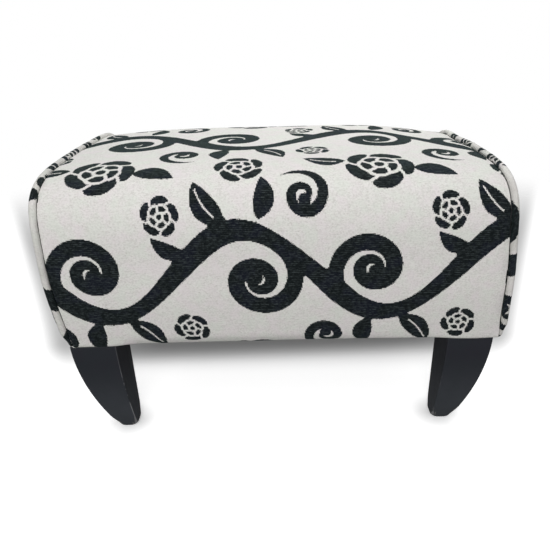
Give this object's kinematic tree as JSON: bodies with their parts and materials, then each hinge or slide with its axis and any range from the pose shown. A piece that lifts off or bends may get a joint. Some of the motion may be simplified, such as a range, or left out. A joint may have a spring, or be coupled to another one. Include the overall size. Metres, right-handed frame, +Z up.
{
  "type": "upholstered footstool",
  "caption": "Rectangular upholstered footstool with a crowned, piped patterned cover and short curved tapering black corner legs.",
  "frame": {"origin": "on the floor, under the middle of the stool", "axes": "+X along the length to the right, -Y to the front, +Z up"},
  "size_m": [0.5244, 0.355, 0.3378],
  "materials": {
    "cover_fabric": "woven cream ground with near-black scrolling figures",
    "piping_fabric": "the cover fabric cut in strips round a cord",
    "black_leg_paint": "satin black paint over shaped wood",
    "dust_cloth": "black nonwoven cloth",
    "foam": "open cell upholstery foam",
    "polyester_padding": "loose white polyester",
    "plywood": "bare plywood",
    "pine": "bare planed pine",
    "zinc_steel": "zinc plated"
  },
  "bodies": {
    "root": {"main_cover": "cover_fabric", "end_cover_left": "cover_fabric", "end_cover_right": "cover_fabric", "piping_left": "piping_fabric", "piping_right": "piping_fabric", "leg_front_left": "black_leg_paint", "leg_front_right": "black_leg_paint", "leg_back_left": "black_leg_paint", "leg_back_right": "black_leg_paint", "dust_cloth": "dust_cloth", "foam_pad": "foam", "wrap_padding": "polyester_padding", "end_padding_left": "polyester_padding", "end_padding_right": "polyester_padding", "seat_board": "plywood", "front_rail": "pine", "back_rail": "pine", "left_end_rail": "pine", "right_end_rail": "pine", "centre_brace": "pine", "corner_block_front_left": "pine", "corner_block_front_right": "pine", "corner_block_back_left": "pine", "corner_block_back_right": "pine", "hanger_bolt_front_left": "zinc_steel", "tee_nut_front_left": "zinc_steel", "block_screw_front_left_end_rail": "zinc_steel", "block_screw_front_left_long_rail": "zinc_steel", "hanger_bolt_front_right": "zinc_steel", "tee_nut_front_right": "zinc_steel", "block_screw_front_right_end_rail": "zinc_steel", "block_screw_front_right_long_rail": "zinc_steel", "hanger_bolt_back_left": "zinc_steel", "tee_nut_back_left": "zinc_steel", "block_screw_back_left_end_rail": "zinc_steel", "block_screw_back_left_long_rail": "zinc_steel", "hanger_bolt_back_right": "zinc_steel", "tee_nut_back_right": "zinc_steel", "block_screw_back_right_end_rail": "zinc_steel", "block_screw_back_right_long_rail": "zinc_steel", "board_screw_front_1": "zinc_steel", "board_screw_front_2": "zinc_steel", "board_screw_front_3": "zinc_steel", "board_screw_back_1": "zinc_steel", "board_screw_back_2": "zinc_steel", "board_screw_back_3": "zinc_steel", "board_screw_left": "zinc_steel", "board_screw_right": "zinc_steel"}
  },
  "joints": []
}
